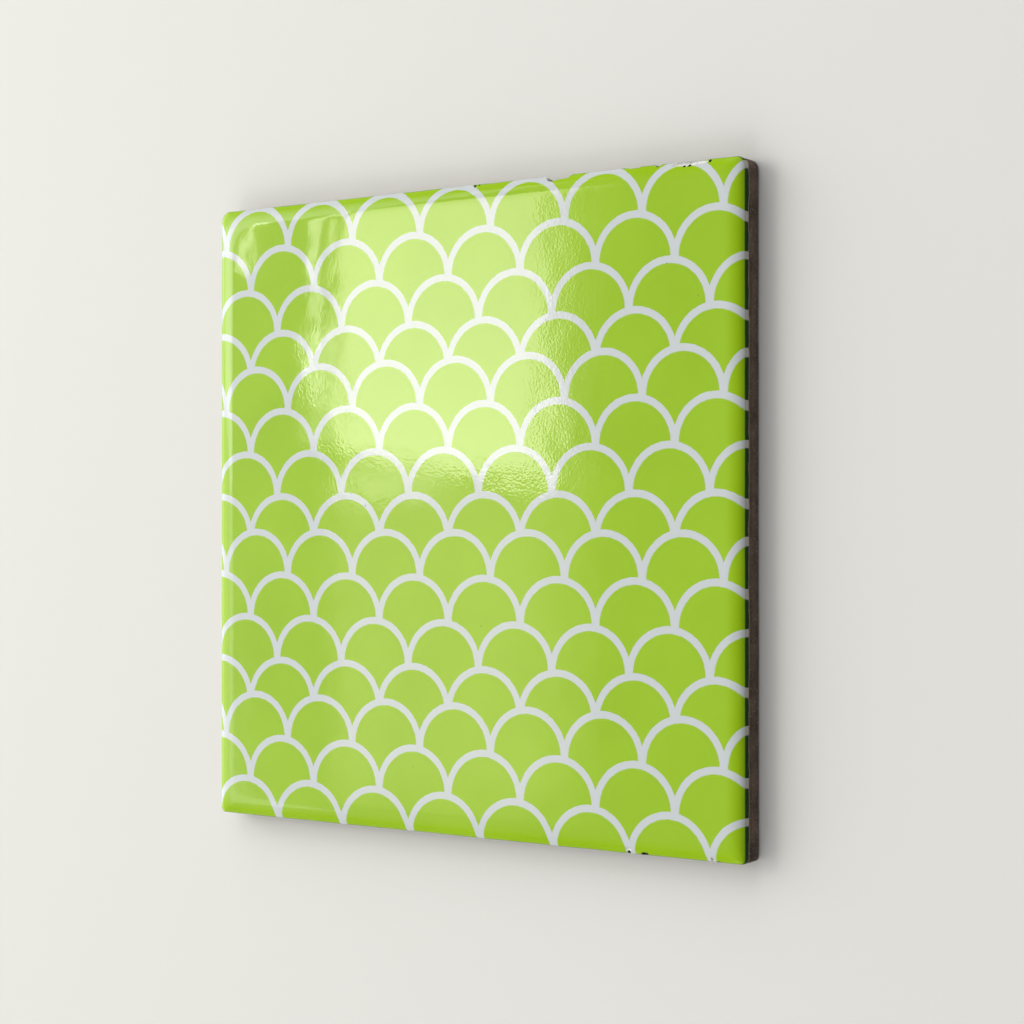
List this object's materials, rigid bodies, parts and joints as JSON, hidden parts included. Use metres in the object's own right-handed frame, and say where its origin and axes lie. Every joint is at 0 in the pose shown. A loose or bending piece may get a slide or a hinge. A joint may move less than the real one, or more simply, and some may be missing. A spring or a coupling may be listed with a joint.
{
  "type": "printed ceramic wall tile",
  "caption": "Square glazed wall tile with a cushion edge, a printed fish-scale pattern in green and white on its face, and a keyed back to bed in adhesive.",
  "frame": {"origin": "middle of the back, in the plane of the back's ribs and border, which the tile lies on", "axes": "+Z out of the glazed face, +Y towards the tops of the printed scales, +X to the right of the face"},
  "size_m": [0.15, 0.15, 0.0065],
  "materials": {
    "tile": "glossy clear glaze over a green and white print, on a brown fired clay body that is bare on the sides and back"
  },
  "bodies": {
    "root": {"tile": "tile"}
  },
  "joints": []
}
